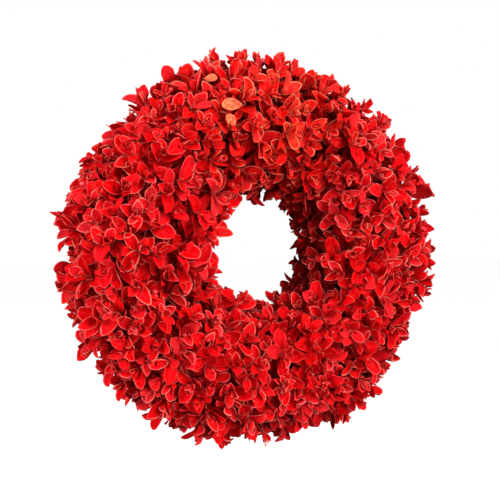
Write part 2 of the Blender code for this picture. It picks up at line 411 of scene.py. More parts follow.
# Nodes down a sprig: depth below the tip, blade length, width over length, angle from the stem, bend, fold
NODES = np.array(
    [
        (0.6, 7.0, 0.50, 12, -10, 36),
        (2.6, 12.5, 0.52, 20, -4, 31),
        (5.6, 17.5, 0.54, 32, 8, 27),
        (9.4, 21.0, 0.55, 45, 16, 23),
        (14.0, 22.5, 0.55, 56, 22, 20),
        (19.4, 22.5, 0.54, 65, 25, 17),
        (25.4, 21.5, 0.53, 74, 26, 15),
        (32.0, 20.0, 0.53, 82, 22, 14),
    ]
)


def numbers(rng, n, bend, fold, spread=1.0):
    """Each blade's own shape."""
    return {
        "base": rng.uniform(0.74, 1.02, n),
        "tip": rng.uniform(0.54, 0.88, n),
        "bend": np.radians(bend + rng.normal(0, 16, n) * spread),
        "curl": np.radians(rng.normal(6, 22, n) * spread),
        "fold": np.radians(np.clip(fold + rng.normal(0, 8, n), -8, 52)),
        "hem": rng.normal(0.03, 0.07, n),
        "wave": np.abs(rng.normal(0.0, 0.10, n)),
        "waves": rng.uniform(1.0, 2.6, n),
        "phase": rng.uniform(0, 6.28, n),
        "twist": np.radians(rng.normal(0, 16, n) * spread),
        "side": rng.normal(0, 0.06, n),
        "thick": rng.uniform(0.24, 0.36, n),
    }


phi, theta = scatter()
COUNT = len(phi)
kind = rng.choice(3, COUNT, p=[0.81, 0.11, 0.08])  # ordinary, bud, crinkled head
size = np.clip(rng.normal(1.07, 0.135, COUNT), 0.74, 1.40) - 0.10 * np.cos(theta)  # the shoots on the left are the older ones
reach = rng.normal(0.0, 3.6, COUNT) * (1 - 0.35 * smooth(np.abs(phi), 0.9, 1.4)) - 0.6
r_tip = tip_radius(phi, theta) + reach
tip = place(r_tip * np.sin(phi), -r_tip * np.cos(phi), theta)
away, turn, along = section_axes(phi * 0.94, theta)
axis = unit(away + turn * rng.normal(0, 0.20, (COUNT, 1)) + along * rng.normal(-0.10, 0.20, (COUNT, 1)))
root_phi = phi * 0.86
root_theta = theta + (12.0 + rng.normal(0, 4, COUNT)) / RING_R
root_r = straw_radius(root_phi) - 0.5
root = place(root_r * np.sin(root_phi), -root_r * np.cos(root_phi), root_theta)
reach_len = np.linalg.norm(tip - root, axis=1)
knee = tip - axis * (reach_len * 0.62)[:, None]


def stem_at(i, s):
    """A point of stem i and its direction, s from 0 at the root to 1 at the tip."""
    p0, p1, p2 = root[i], knee[i], tip[i]
    s = s[..., None]
    pos = (1 - s) ** 2 * p0 + 2 * s * (1 - s) * p1 + s * s * p2
    d = unit(2 * (1 - s) * (p1 - p0) + 2 * s * (p2 - p1))
    return pos, d


spin = rng.uniform(0, math.pi, COUNT)
sprig_tone = np.clip(rng.normal(0.5, 0.16, COUNT), 0, 1)
# The dye is warmer round the top of the front
sprig_warm = 0.44 * np.exp(-(((tip[:, 0] - 5) / 85) ** 2 + ((tip[:, 2] - 125) / 62) ** 2)) * rng.uniform(0.5, 1.0, COUNT)

row = np.where(phi > math.radians(33), 0, np.where(phi < -math.radians(33), 2, 1))
turns = np.array([15.0, 0.0, 15.0])[row]
sector = np.round((90 - turns - np.degrees(theta)) / 30).astype(int) % 12

leaf_sets = {"hi": [], "lo": []}
for node, (depth, length, ratio, lean, bend, fold) in enumerate(NODES):
    d = depth * size
    dice = np.random.default_rng(500 + node).random(COUNT)
    s = 1 - d / reach_len
    ok = s > 0.10
    if node == 0:
        ok &= (kind == 0) & (dice < np.where(np.abs(phi) > math.radians(55), 0.25, 0.45))
    if node == 1:
        ok &= dice > 0.18
    if node <= 2:
        ok &= kind != 2
    idx = np.nonzero(ok)[0]
    pos, tangent = stem_at(idx, s[idx])
    seed = np.where(np.abs(tangent[:, 2:3]) > 0.9, np.array([1.0, 0, 0]), np.array([0, 0, 1.0]))
    e1 = unit(np.cross(tangent, seed))
    e2 = np.cross(tangent, e1)
    for pair in (0, 1):
        one = np.random.default_rng(600 + 2 * node + pair)

        def draw(values):
            return values[idx]

        az = spin[idx] + node * math.pi / 2 + pair * math.pi + draw(one.normal(0, 0.22, COUNT))
        e = np.cos(az)[:, None] * e1 + np.sin(az)[:, None] * e2
        al = np.radians(np.clip(lean + draw(one.normal(0, 12, COUNT)), 4, 105))
        go = np.cos(al)[:, None] * tangent + np.sin(al)[:, None] * e
        up = np.sin(al)[:, None] * tangent - np.cos(al)[:, None] * e
        # leaves on the sides turn their faces to the front
        turned = (smooth(np.abs(phi[idx]), 0.35, 1.3) * (1 - 0.65 * smooth(-phi[idx], 0.7, 1.2)) * draw(one.uniform(0.1, 1.5, COUNT)))[:, None]
        up = up + turned * np.array([0.0, -1.0, 0.0])
        up = unit(up - np.sum(up * go, -1, keepdims=True) * go)
        ln = length * size[idx] * draw(np.clip(one.normal(1, 0.13, COUNT), 0.68, 1.34))
        ln = np.minimum(ln, 27.0)
        wd = ln * (ratio + 0.025) * draw(np.clip(one.normal(1, 0.10, COUNT), 0.76, 1.28))
        lost = draw(one.random(COUNT)) < (0.05 if node > 1 else 0.0)
        keep = ~lost
        g = {k: draw(v) for k, v in numbers(one, COUNT, bend, fold, 0.6 if node < 2 else 1.0).items()}
        # painted light in the tone: blades near the tips get a lighter tone as painted highlight, deeper ones a darker
        # tone as painted shade, and blades on the side of the hole darker still as painted shade
        tone = np.clip(sprig_tone[idx] + draw(one.normal(0, 0.17, COUNT)) + (0.14 if node < 3 else 0.02 if node < 5 else -0.06) - 0.25 * smooth(-phi[idx], 0.7, 1.2), 0, 1)
        gold = sprig_warm[idx] * draw(one.uniform(0.3, 1.0, COUNT))
        tint = np.stack([tone, gold, draw(one.random(COUNT))], -1)
        which = "hi" if node < 5 else "lo"
        g = {k: v[keep] for k, v in g.items()}
        leaf_sets[which].append((idx[keep], pos[keep], go[keep], up[keep], ln[keep], wd[keep], g, tint[keep]))

# Crinkled heads: a dome of small crimped blades
heads = np.nonzero(kind == 2)[0]
for k in range(18):
    pos, tangent = stem_at(heads, np.full(len(heads), 1.0) - (1.0 + 0.25 * k) / reach_len[heads])
    seed = np.where(np.abs(tangent[:, 2:3]) > 0.9, np.array([1.0, 0, 0]), np.array([0, 0, 1.0]))
    e1 = unit(np.cross(tangent, seed))
    e2 = np.cross(tangent, e1)
    az = spin[heads] + k * 2.39996 + rng.normal(0, 0.15, len(heads))
    e = np.cos(az)[:, None] * e1 + np.sin(az)[:, None] * e2
    al = np.radians(8 + 4.1 * k + rng.normal(0, 7, len(heads)))
    go = np.cos(al)[:, None] * tangent + np.sin(al)[:, None] * e
    up = np.sin(al)[:, None] * tangent - np.cos(al)[:, None] * e
    ln = (6.2 + 0.14 * k) * size[heads] * rng.uniform(0.8, 1.2, len(heads))
    g = numbers(rng, len(heads), 24, 30, 1.3)
    g["wave"] = rng.uniform(0.15, 0.45, len(heads))
    tint = np.stack([np.clip(sprig_tone[heads] + rng.normal(0.08, 0.15, len(heads)), 0, 1), sprig_warm[heads], rng.random(len(heads))], -1)
    leaf_sets["hi"].append((heads, pos, go, up, ln, ln * rng.uniform(0.5, 0.7, len(heads)), g, tint))

# Low leaves: shorter shoots' blades that lie over the straw between the stems
LOW = 1900
lphi = rng.uniform(-math.radians(119), math.radians(119), LOW * 2)
ltheta = rng.uniform(0, 2 * math.pi, LOW * 2)
picked = np.nonzero(rng.random(LOW * 2) < (RING_R + 50 * np.sin(lphi)) / (RING_R + 50))[0][:LOW]
lphi, ltheta = lphi[picked], ltheta[picked]
# more of them behind, where the shoots stand apart
SIDES = 1300
sphi = rng.uniform(math.radians(68), math.radians(118), SIDES) * rng.choice([-1, 1], SIDES, p=[0.4, 0.6])
lphi, ltheta = np.append(lphi, sphi), np.append(ltheta, rng.uniform(0, 2 * math.pi, SIDES))
def low_leaves(rng, p, t, clear):
    """Blades that lie between the stems, at angles p and t. Returns their rows, sectors, points, spots and tints."""
    n = len(p)
    room = np.maximum(tip_radius(p, t) - straw_radius(p) - clear, 6)
    r = straw_radius(p) + 3 + rng.random(n) ** 1.2 * (room - 3)
    away, turn, along = section_axes(p, t)
    base = place(r * np.sin(p), -r * np.cos(p), t)
    az = rng.uniform(0, 2 * math.pi, n)
    out = np.cos(az)[:, None] * turn + np.sin(az)[:, None] * along
    al = np.radians(rng.uniform(45, 88, n))
    go = np.cos(al)[:, None] * away + np.sin(al)[:, None] * out
    up = np.sin(al)[:, None] * away - np.cos(al)[:, None] * out
    up = up + (smooth(np.abs(p), 0.35, 1.3) * rng.uniform(0.1, 1.6, n))[:, None] * np.array([0.0, -1.0, 0.0])
    up = unit(up - np.sum(up * go, -1, keepdims=True) * go)
    ln = rng.uniform(17, 25, n)
    row = np.where(p > math.radians(33), 0, np.where(p < -math.radians(33), 2, 1))
    sector = np.round((90 - np.array([15.0, 0.0, 15.0])[row] - np.degrees(t)) / 30).astype(int) % 12
    points, spots = blades(US_LO, TS_LO, base, go, up, ln, ln * rng.uniform(0.5, 0.62, n), numbers(rng, n, 22, 14))
    # painted shade: these low blades between the stems get a dark tone, darker still on the side of the hole
    tint = np.stack([np.clip(rng.normal(0.20, 0.15, n) - 0.20 * smooth(-p, 0.9, 1.3), 0, 1), np.zeros(n), rng.random(n)], -1)
    return row, sector, shy(points), spots, tint


# A few more where the straw would show: (angle from the front of the section, angle round the ring)
FILL = np.radians([(-50, 335), (-46, 337), (-54, 332), (-108, 350), (-100, 353), (-104, 347), (-96, 350), (-106, 71), (-98, 75)])
low_row, low_sector, low_points, low_spots, low_tint = (
    np.concatenate(parts)
    for parts in zip(
        low_leaves(rng, lphi, ltheta, np.where(np.arange(len(lphi)) < LOW, 13, 8)),
        low_leaves(np.random.default_rng(23), FILL[:, 0], FILL[:, 1], 8),
    )
)

flat_sets = {}
for which, (us, ts, template) in {"hi": (US_HI, TS_HI, LEAF_HI), "lo": (US_LO, TS_LO, LEAF_LO)}.items():
    sets = leaf_sets[which]
    owner = np.concatenate([s[0] for s in sets])
    g = {k: np.concatenate([s[6][k] for s in sets]) for k in sets[0][6]}
    pts, spots = blades(
        us, ts, *(np.concatenate([s[i] for s in sets]) for i in (1, 2, 3, 4, 5)), g
    )
    flat_sets[which] = (template, owner, shy(pts), spots, np.concatenate([s[7] for s in sets]))


# Stems
s = np.linspace(0, 1, 9)
everyone = np.arange(COUNT)
stem_path = np.stack([stem_at(everyone, np.full(COUNT, v))[0] for v in s], 1)
stem_radius = (1.15 * size)[:, None] * (1 - 0.45 * s)[None, :]
stem_points, _ = tubes(stem_path, stem_radius, 6)
stem_points = shy(stem_points)
stem_spots = tube_spots(stem_path[:, ::-1], stem_radius[:, ::-1], 6).reshape(COUNT, 9, 6, 3)[:, ::-1].reshape(COUNT, 54, 3)  # measured from the tip
stem_tint = np.stack([sprig_tone, np.zeros(COUNT), rng.random(COUNT)], -1)

# Three leaves high on the left of the front hardly took the dye, and one reaches into the hole:
# (middle, way to the tip, length, width, how thin the dye is)
PALE = [
    ((-56.6, -16.5, 159.1), (0.92, -0.38, 0.02), 12.4, 8.4, 0.90),
    ((-48.3, -48.0, 132.9), (-0.92, 0.38, 0.06), 18.6, 12.4, 1.0),
    ((-48.0, -45.0, 120.0), (0.55, -0.25, -0.80), 12.5, 8.8, 0.72),
    ((-51.0, -22.0, 19.5), (0.92, -0.38, 0.06), 26.0, 10.5, 0.16),
]
pale_mid = np.array([q[0] for q in PALE])
pale_go = unit(np.array([q[1] for q in PALE]))
pale_len, pale_wide = np.array([q[2] for q in PALE]), np.array([q[3] for q in PALE])
pale_up = np.broadcast_to(np.array([-0.35, -0.88, 0.30]), pale_go.shape)
pale_up = unit(pale_up - np.sum(pale_up * pale_go, -1, keepdims=True) * pale_go)
pale_base = pale_mid - pale_go * (pale_len / 2)[:, None]
pale_points, pale_spots = blades(US_HI, TS_HI, pale_base, pale_go, pale_up, pale_len, pale_wide, numbers(np.random.default_rng(77), len(PALE), 6, 12, 0.3))
pale_tint = np.array([(0.7, q[4], 0.5) for q in PALE])
upper = stem_path[:, 3:8]
gap = np.linalg.norm(upper[None] - (pale_base - pale_go * 4 - pale_up * 3)[:, None, None], axis=-1)
pale_owner, pale_from = np.unravel_index(gap.reshape(len(PALE), -1).argmin(1), gap.shape[1:])
pale_start = upper[pale_owner, pale_from]
v = np.linspace(0, 1, 9)[None, :, None]
elbow = pale_base - pale_go * 5 - pale_up * 1.0
stalk_path = (1 - v) ** 2 * pale_start[:, None] + 2 * v * (1 - v) * elbow[:, None] + v * v * (pale_base + pale_go * 0.6)[:, None]
stalk_radius = np.broadcast_to(0.62 - 0.12 * v[..., 0], (len(PALE), 9))
stalk_points, _ = tubes(stalk_path, stalk_radius, 6)
stalk_spots = tube_spots(stalk_path, stalk_radius, 6)
stalk_tint = np.tile(np.array([[0.7, 0.0, 0.5]]), (len(PALE), 1))

# Buds: slightly pointed balls on the tips
buds = np.nonzero(kind == 1)[0]
lat = np.linspace(0.22, math.pi - 0.22, 6)
ang = 2 * math.pi * np.arange(8) / 8
unit_ball = np.concatenate(
    [
        np.stack([np.outer(np.sin(lat), np.cos(ang)).ravel(), np.outer(np.sin(lat), np.sin(ang)).ravel(), np.outer(-np.cos(lat), np.ones(8)).ravel()], -1),
        np.array([[0, 0, -1.0], [0, 0, 1.22]]),
    ]
)
bud_tan = axis[buds]
seed = np.where(np.abs(bud_tan[:, 2:3]) > 0.9, np.array([1.0, 0, 0]), np.array([0, 0, 1.0]))
b1 = unit(np.cross(bud_tan, seed))
b2 = np.cross(bud_tan, b1)
bud_r = rng.uniform(1.5, 2.3, len(buds)) * size[buds]
bud_points = (
    unit_ball[None, :, 0:1] * b1[:, None] * bud_r[:, None, None]
    + unit_ball[None, :, 1:2] * b2[:, None] * bud_r[:, None, None]
    + unit_ball[None, :, 2:3] * bud_tan[:, None] * (bud_r * 1.12)[:, None, None]
    + (tip[buds] + bud_tan * (bud_r * 0.8)[:, None])[:, None]
)
bud_spots = np.stack([unit_ball[None, :, 0] * bud_r[:, None], unit_ball[None, :, 2] * bud_r[:, None] + 3, np.full((len(buds), len(unit_ball)), 4.0)], -1)
bud_tint = np.stack([np.clip(sprig_tone[buds] + 0.1, 0, 1), np.zeros(len(buds)), rng.random(len(buds))], -1)

# Stamens: a spray of fine pale threads from one tip at the bottom of the ring
low = np.argmin(np.linalg.norm(tip - np.array([8.0, 0.0, -182.0]), axis=1))
fil_owner = np.full(8, low)
fa = rng.uniform(0, 2 * math.pi, len(fil_owner))
fl = rng.uniform(0.10, 0.42, len(fil_owner))
ft = axis[fil_owner]
seed = np.where(np.abs(ft[:, 2:3]) > 0.9, np.array([1.0, 0, 0]), np.array([0, 0, 1.0]))
f1 = unit(np.cross(ft, seed))
f2 = np.cross(ft, f1)
lean_dir = np.cos(fa)[:, None] * f1 + np.sin(fa)[:, None] * f2
fs = np.linspace(0, 1, 7)
fil_len = rng.uniform(8.5, 12.5, len(fil_owner))
fil_path = (
    tip[fil_owner][:, None]
    - ft[:, None] * 1.0
    + (ft[:, None] * fs[None, :, None] + lean_dir[:, None] * (fl[:, None] * (fs[None] + 0.5 * fs[None] ** 2))[..., None]) * fil_len[:, None, None]
)
fil_radius = np.broadcast_to(np.array([0.30, 0.26, 0.24, 0.22, 0.22, 0.42, 0.34]), (len(fil_owner), 7))
fil_points, _ = tubes(fil_path, fil_radius, 5)
fil_points = shy(fil_points)
fil_spots = tube_spots(fil_path, fil_radius, 5)
fil_tint = np.stack([rng.random(len(fil_owner)), np.zeros(len(fil_owner)), rng.random(len(fil_owner))], -1)


# ---------------------------------------------------------------- materials
class Nodes:
    """Short hands for building a node tree."""

    def __init__(self, name):
        self.mat = bpy.data.materials.new(name)
        self.mat.use_nodes = True
        self.tree = self.mat.node_tree
        self.shader = self.tree.nodes["Principled BSDF"]

    def new(self, kind, **settings):
        node = self.tree.nodes.new(kind)
        for k, v in settings.items():
            setattr(node, k, v)
        return node

    def link(self, a, b):
        self.tree.links.new(a, b)

    def put(self, socket, value):
        if isinstance(value, bpy.types.NodeSocket):
            self.link(value, socket)
        elif isinstance(value, tuple) and len(value) == 3 and socket.type == "RGBA":
            socket.default_value = (*value, 1.0)
        else:
            socket.default_value = value

    def attr(self, name):
        node = self.new("ShaderNodeAttribute", attribute_name=name)
        split = self.new("ShaderNodeSeparateXYZ")
        self.link(node.outputs["Vector"], split.inputs[0])
        return split.outputs[0], split.outputs[1], split.outputs[2], node.outputs["Vector"]

    def math(self, op, a, b=0.0, clamp=False):
        node = self.new("ShaderNodeMath", operation=op, use_clamp=clamp)
        self.put(node.inputs[0], a)
        self.put(node.inputs[1], b)
        return node.outputs[0]

    def ease(self, value, a, b, out0=0.0, out1=1.0):
        node = self.new("ShaderNodeMapRange", interpolation_type="SMOOTHSTEP")
        self.put(node.inputs[0], value)
        for i, v in ((1, a), (2, b), (3, out0), (4, out1)):
            node.inputs[i].default_value = v
        return node.outputs[0]

    def mix(self, fac, a, b, blend="MIX"):
        node = self.new("ShaderNodeMix", data_type="RGBA", blend_type=blend)
        self.put(node.inputs[0], fac)
        self.put(node.inputs[6], a)
        self.put(node.inputs[7], b)
        return node.outputs[2]

    def noise(self, vector, scale, detail=3.0, rough=0.55, distort=0.0):
        node = self.new("ShaderNodeTexNoise")
        self.put(node.inputs["Vector"], vector)
        node.inputs["Scale"].default_value = scale
        node.inputs["Detail"].default_value = detail
        node.inputs["Roughness"].default_value = rough
        node.inputs["Distortion"].default_value = distort
        return node.outputs["Fac"]

    def ramp(self, fac, stops):
        node = self.new("ShaderNodeValToRGB")
        e = node.color_ramp.elements
        while len(e) < len(stops):
            e.new(0.5)
        for el, (pos, col) in zip(e, stops):
            el.position = pos
            el.color = (*col, 1.0)
        self.put(node.inputs[0], fac)
        return node.outputs[0]

    def here(self):
        return self.new("ShaderNodeTexCoord").outputs["Object"]

    def scaled(self, vector, x, y, z):
        node = self.new("ShaderNodeMapping")
        self.put(node.inputs[0], vector)
        node.inputs[3].default_value = (x, y, z)
        return node.outputs[0]

    def bump(self, height, strength, distance, normal=None):
        node = self.new("ShaderNodeBump")
        node.inputs["Strength"].default_value = strength
        node.inputs["Distance"].default_value = distance
        self.put(node.inputs["Height"], height)
        if normal is not None:
            self.put(node.inputs["Normal"], normal)
        return node.outputs[0]


def foliage_material():
    n = Nodes("dyed_leaf")
    across, run, margin, spot = n.attr("spot")
    tone, gold, own, _ = n.attr("tint")
    here = n.here()
    wide = n.noise(here, 34.0, 2.0)
    fleck = n.noise(here, 620.0, 4.0, 0.62)
    cloud = n.noise(here, 210.0, 3.0, 0.55, 0.6)
    # the tone ramp runs from dark red to a pinker red; its dark end carries the painted shade set in the tone, and its
    # pinker end is painted sheen on the lighter blades
    value = n.math("ADD", n.math("MULTIPLY", tone, 0.78), n.math("MULTIPLY", wide, 0.22))
    dye = n.ramp(value, [(0.12, (0.18, 0.0002, 0.0010)), (0.36, (0.59, 0.0004, 0.0022)), (0.56, (0.60, 0.0006, 0.0034)), (0.74, (0.60, 0.0060, 0.0110)), (1.0, (0.59, 0.0220, 0.0270))])
    dye = n.mix(n.ease(cloud, 0.50, 0.68, 0.0, 0.60), dye, (0.66, 0.007, 0.009))
    dye = n.mix(n.ease(cloud, 0.30, 0.46, 0.45, 0.0), dye, (0.36, 0.0008, 0.0035))
    dye = n.mix(n.ease(fleck, 0.34, 0.50, 0.40, 0.0), dye, (0.30, 0.001, 0.004))
    dye = n.mix(n.ease(fleck, 0.56, 0.68, 0.0, 0.26), dye, (0.72, 0.065, 0.045))
    # veins: a midrib, and side veins that leave it at a slant
    wide_abs = n.math("ABSOLUTE", across)
    rib = n.ease(wide_abs, 0.12, 0.42, 1.0, 0.0)
    slant = n.math("SUBTRACT", n.math("MULTIPLY", run, 2.5), n.math("MULTIPLY", wide_abs, 2.0))
    vein = n.ease(n.math("SINE", slant), 0.80, 0.99)
    dye = n.mix(n.math("MULTIPLY", vein, 0.10), dye, (0.72, 0.03, 0.03))
    dye = n.mix(n.math("MULTIPLY", rib, 0.18), dye, (0.74, 0.06, 0.05))
    # thin dye: the leaf's own straw colour shows
    warm = n.ease(gold, 0.0, 0.34)
    dye = n.mix(n.math("MULTIPLY", warm, n.ease(cloud, 0.40, 0.66, 0.05, 0.55)), dye, (0.80, 0.050, 0.018))
    patch = n.math("MULTIPLY", n.ease(gold, 0.24, 0.80), n.ease(cloud, 0.34, 0.56, 0.30, 0.95), clamp=True)
    dye = n.mix(patch, dye, n.mix(n.ease(fleck, 0.38, 0.60), (0.50, 0.050, 0.018), (0.72, 0.175, 0.075)))
    # pale margin, broken here and there: partly the blade's own pale edge, partly painted sheen along the edges
    edge = n.math("ADD", margin, n.math("MULTIPLY", n.math("SUBTRACT", cloud, 0.5), 1.1))
    rim_and_sheen = n.math("MULTIPLY", n.ease(edge, 0.15, 1.60, 1.0, 0.0), n.ease(own, 0.2, 0.98, 0.08, 0.84))
    pale = n.mix(warm, n.mix(n.ease(wide, 0.42, 0.60), (0.77, 0.115, 0.110), (0.81, 0.205, 0.155)), (0.80, 0.240, 0.115))
    dye = n.mix(rim_and_sheen, dye, pale)
    n.put(n.shader.inputs["Base Color"], dye)
    n.put(n.shader.inputs["Roughness"], n.ease(cloud, 0.3, 0.7, 0.48, 0.68))
    n.shader.inputs["Specular IOR Level"].default_value = 0.005
    height = n.math("ADD", n.math("MULTIPLY", fleck, 0.55), n.math("MULTIPLY", cloud, 0.8))
    height = n.math("SUBTRACT", height, n.math("ADD", n.math("MULTIPLY", rib, 0.5), n.math("MULTIPLY", vein, 0.22)))
    n.put(n.shader.inputs["Normal"], n.bump(height, 0.42, 0.0005))
    return n.mat


def stem_material():
    n = Nodes("dyed_stem")
    _, run, _, _ = n.attr("spot")
    tone, _, _, _ = n.attr("tint")
    here = n.here()
    grain = n.noise(n.scaled(here, 1, 1, 1), 480.0, 4.0)
    knots = n.ease(n.math("SINE", n.math("MULTIPLY", run, 0.9)), 0.93, 1.0)
    col = n.ramp(grain, [(0.25, (0.075, 0.006, 0.006)), (0.55, (0.21, 0.012, 0.010)), (0.8, (0.36, 0.055, 0.03))])
    col = n.mix(n.math("MULTIPLY", knots, 0.6), col, (0.05, 0.006, 0.006))
    col = n.mix(n.math("MULTIPLY", tone, 0.3), col, (0.40, 0.01, 0.012))
    col = n.mix(n.ease(run, 5.0, 22.0, 0.75, 0.0), col, n.ramp(grain, [(0.35, (0.50, 0.02, 0.02)), (0.65, (0.70, 0.13, 0.09))]))
    n.put(n.shader.inputs["Base Color"], col)
    n.put(n.shader.inputs["Roughness"], n.ease(grain, 0.3, 0.7, 0.62, 0.85))
    n.put(n.shader.inputs["Normal"], n.bump(grain, 0.6, 0.0005))
    return n.mat


def bud_material():
    n = Nodes("dyed_bud")
    x, run, _, _ = n.attr("spot")
    tone, _, _, _ = n.attr("tint")
    here = n.here()
    grain = n.noise(here, 520.0, 3.0)
    col = n.ramp(n.math("ADD", n.math("MULTIPLY", tone, 0.6), n.math("MULTIPLY", grain, 0.4)), [(0.2, (0.42, 0.006, 0.016)), (0.6, (0.68, 0.020, 0.035)), (0.95, (0.82, 0.10, 0.09))])
    col = n.mix(n.ease(run, 4.6, 6.4, 0.0, 0.5), col, (0.86, 0.20, 0.15))
    n.put(n.shader.inputs["Base Color"], col)
    n.put(n.shader.inputs["Roughness"], n.ease(grain, 0.3, 0.7, 0.42, 0.6))
    n.put(n.shader.inputs["Normal"], n.bump(grain, 0.4, 0.0004))
    return n.mat


def thread_material():
    n = Nodes("stamen")
    _, run, _, _ = n.attr("spot")
    here = n.here()
    grain = n.noise(here, 700.0, 2.0)
    col = n.ramp(n.math("DIVIDE", run, 14.0), [(0.0, (0.62, 0.03, 0.03)), (0.45, (0.80, 0.26, 0.17)), (0.85, (0.88, 0.52, 0.34)), (1.0, (0.80, 0.42, 0.16))])
    col = n.mix(n.ease(grain, 0.4, 0.7, 0.0, 0.4), col, (0.72, 0.12, 0.09))
    n.put(n.shader.inputs["Base Color"], col)
    n.put(n.shader.inputs["Roughness"], n.ease(grain, 0.3, 0.7, 0.5, 0.7))
    return n.mat


def straw_material():
    n = Nodes("straw_stalk")
    across, run, up, spot = n.attr("spot")
    tone, worn, own, _ = n.attr("tint")
    here = n.here()
    fibre = n.noise(n.scaled(spot, 3.2, 0.10, 3.2), 1.0, 4.0, 0.6)
    blot = n.noise(here, 120.0, 3.0)
    col = n.ramp(n.math("ADD", n.math("MULTIPLY", tone, 0.62), n.math("MULTIPLY", fibre, 0.38)), [(0.12, (0.19, 0.115, 0.045)), (0.42, (0.42, 0.28, 0.115)), (0.66, (0.58, 0.42, 0.19)), (0.92, (0.70, 0.56, 0.30))])
    col = n.mix(n.ease(blot, 0.52, 0.74, 0.0, 0.55), col, (0.24, 0.17, 0.09))
    joint = n.ease(n.math("SINE", n.math("ADD", n.math("MULTIPLY", run, 0.11), n.math("MULTIPLY", own, 6.28))), 0.985, 0.999)
    col = n.mix(n.math("MULTIPLY", joint, 0.7), col, (0.20, 0.12, 0.05))
    n.put(n.shader.inputs["Base Color"], col)
    n.put(n.shader.inputs["Roughness"], n.ease(fibre, 0.3, 0.7, 0.42, 0.72))
    n.shader.inputs["Specular IOR Level"].default_value = 0.45
    n.put(n.shader.inputs["Normal"], n.bump(n.math("ADD", fibre, n.math("MULTIPLY", joint, 0.8)), 0.5, 0.0004))
    return n.mat


def filler_material():
    n = Nodes("straw_heart")
    _, run, _, spot = n.attr("spot")
    here = n.here()
    fibre = n.noise(n.scaled(here, 1.0, 1.0, 1.0), 260.0, 5.0, 0.65)
    col = n.ramp(fibre, [(0.3, (0.06, 0.036, 0.014)), (0.55, (0.17, 0.11, 0.045)), (0.8, (0.30, 0.21, 0.09))])
    n.put(n.shader.inputs["Base Color"], col)
    n.put(n.shader.inputs["Roughness"], n.ease(fibre, 0.3, 0.7, 0.75, 0.95))
    n.put(n.shader.inputs["Normal"], n.bump(fibre, 0.8, 0.001))
    return n.mat


def steel_material(name, dull):
    """Galvanised wire: a grey zinc skin with soft spangles, a fine grain and a few dull spots."""
    n = Nodes(name)
    here = n.here()
    spangle = n.new("ShaderNodeTexVoronoi")
    n.put(spangle.inputs["Vector"], here)
    spangle.inputs["Scale"].default_value = 900.0
    spot = n.noise(here, 420.0, 4.0)
    grain = n.noise(here, 2400.0, 3.0)
    col = n.ramp(spot, [(0.3, (0.36, 0.36, 0.35)), (0.6, (0.52, 0.52, 0.50)), (0.85, (0.64, 0.64, 0.62))])
    col = n.mix(n.ease(spangle.outputs["Distance"], 0.1, 0.6, 0.0, 0.25), col, (0.30, 0.30, 0.30))
    if dull:
        col = n.mix(n.ease(spot, 0.45, 0.62, 0.0, 0.75), col, (0.17, 0.075, 0.035))
        n.put(n.shader.inputs["Metallic"], n.ease(spot, 0.45, 0.62, 0.95, 0.2))
        n.put(n.shader.inputs["Roughness"], n.ease(spot, 0.40, 0.62, 0.38, 0.85))
    else:
        n.put(n.shader.inputs["Metallic"], n.ease(spot, 0.60, 0.75, 1.0, 0.75))
        n.put(n.shader.inputs["Roughness"], n.ease(spot, 0.35, 0.7, 0.30, 0.55))
    n.put(n.shader.inputs["Base Color"], col)
    n.put(n.shader.inputs["Normal"], n.bump(grain, 0.35, 0.0002))
    return n.mat


def lacquer_material():
    """Florist's wire: dark green lacquer, worn to bright steel in places."""
    n = Nodes("green_lacquer")
    here = n.here()
    spot = n.noise(here, 300.0, 5.0, 0.6)
    fine = n.noise(here, 1500.0, 3.0)
    chip = n.ease(n.math("ADD", n.math("MULTIPLY", spot, 0.8), n.math("MULTIPLY", fine, 0.2)), 0.60, 0.66)
    col = n.ramp(spot, [(0.3, (0.012, 0.040, 0.018)), (0.6, (0.020, 0.075, 0.032)), (0.8, (0.045, 0.12, 0.055))])
    col = n.mix(chip, col, (0.42, 0.41, 0.39))
    n.put(n.shader.inputs["Base Color"], col)
    n.put(n.shader.inputs["Metallic"], n.math("MULTIPLY", chip, 0.9))
    n.put(n.shader.inputs["Roughness"], n.ease(spot, 0.3, 0.7, 0.28, 0.50))
    n.put(n.shader.inputs["Normal"], n.bump(fine, 0.3, 0.0002))
    return n.mat


LEAF_MAT, STEM_MAT, BUD_MAT, THREAD_MAT = foliage_material(), stem_material(), bud_material(), thread_material()
STRAW_MAT, HEART_MAT = straw_material(), filler_material()
ZINC, CORE_STEEL, GREEN = steel_material("galvanised_wire", False), steel_material("core_steel", True), lacquer_material()

for node, mat in (("hanger_strap", ZINC), ("hanger_loop", ZINC), ("core_ring", CORE_STEEL), ("binding_wire", GREEN)):
    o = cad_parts[node]
    for i in range(len(o.material_slots)):
        o.material_slots[i].material = mat

# ---------------------------------------------------------------- foliage pieces, one for each bunch
for r, row_name in enumerate(("outer", "front", "inner")):
    for k in range(12):
        mine = (row == r) & (sector == k)
        piece = Piece(f"{row_name}_foliage_{k + 1:02d}")
        for which in ("hi", "lo"):
            template, owner, pts, spots, tint = flat_sets[which]
            m = mine[owner]
            piece.add(template, pts[m], spots[m], tint[m], 0)
        m = (low_row == r) & (low_sector == k)
        piece.add(LEAF_LO, low_points[m], low_spots[m], low_tint[m], 0)
        piece.add(STEM, stem_points[mine], stem_spots[mine], stem_tint[mine], 1)
        m = mine[pale_owner]
        piece.add(LEAF_HI, pale_points[m], pale_spots[m], pale_tint[m], 0)
        piece.add(STEM, stalk_points[m], stalk_spots[m], stalk_tint[m], 1)
        m = mine[buds]
        piece.add(BUD, bud_points[m], bud_spots[m], bud_tint[m], 2)
        m = mine[fil_owner]
        piece.add(FILAMENT, fil_points[m], fil_spots[m], fil_tint[m], 3)
        obj = piece.mesh([LEAF_MAT, STEM_MAT, BUD_MAT, THREAD_MAT])
        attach(obj, "wreath")
        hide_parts(f"{row_name}_bunch_{k + 1:02d}")


